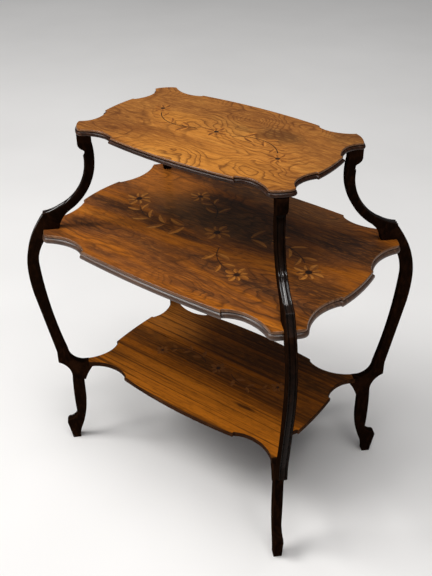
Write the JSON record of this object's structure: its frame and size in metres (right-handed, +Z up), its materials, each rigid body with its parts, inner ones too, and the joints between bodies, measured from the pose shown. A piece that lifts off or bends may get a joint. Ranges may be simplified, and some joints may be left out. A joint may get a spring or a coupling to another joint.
{
  "type": "tea table",
  "caption": "Three-tier tea table with serpentine moulded tiers, inlaid veneer and four scrolled cabriole legs set on the diagonals.",
  "frame": {"origin": "middle of the footprint on the floor, below the centre of the tiers", "axes": "+Z up; X along the long side of the tiers; -Y is the front long side, towards the picture's viewer"},
  "size_m": [0.7094, 0.4914, 0.84],
  "materials": {
    "tier_wood": "polished, dark red-brown, worn lighter on the arris",
    "top_veneer": "polished, golden orange, swirling figure",
    "middle_veneer": "polished, red-brown with dark streaks",
    "bottom_veneer": "polished, mid brown, straight grain",
    "pale_inlay": "polished, pale gold",
    "shaded_inlay": "polished, scorched gold",
    "dark_inlay": "polished, dark brown",
    "leg_wood": "polished, near-black red-brown",
    "dowel_wood": "bare",
    "screw_steel": "dull, slightly darkened"
  },
  "bodies": {
    "root": {"top_tier_board": "tier_wood", "top_tier_ground": "top_veneer", "top_tier_leaves": "pale_inlay", "top_tier_shades": "shaded_inlay", "top_tier_stems": "dark_inlay", "middle_tier_board": "tier_wood", "middle_tier_ground": "middle_veneer", "middle_tier_leaves": "pale_inlay", "middle_tier_shades": "shaded_inlay", "middle_tier_stems": "dark_inlay", "bottom_tier_board": "tier_wood", "bottom_tier_ground": "bottom_veneer", "bottom_tier_leaves": "pale_inlay", "bottom_tier_shades": "shaded_inlay", "bottom_tier_stems": "dark_inlay", "leg_back_right": "leg_wood", "support_back_right": "leg_wood", "leg_back_left": "leg_wood", "support_back_left": "leg_wood", "leg_front_left": "leg_wood", "support_front_left": "leg_wood", "leg_front_right": "leg_wood", "support_front_right": "leg_wood", "support_head_dowels": "dowel_wood", "support_foot_dowels": "dowel_wood", "bottom_tier_dowels": "dowel_wood", "middle_tier_screws": "screw_steel"}
  },
  "joints": []
}
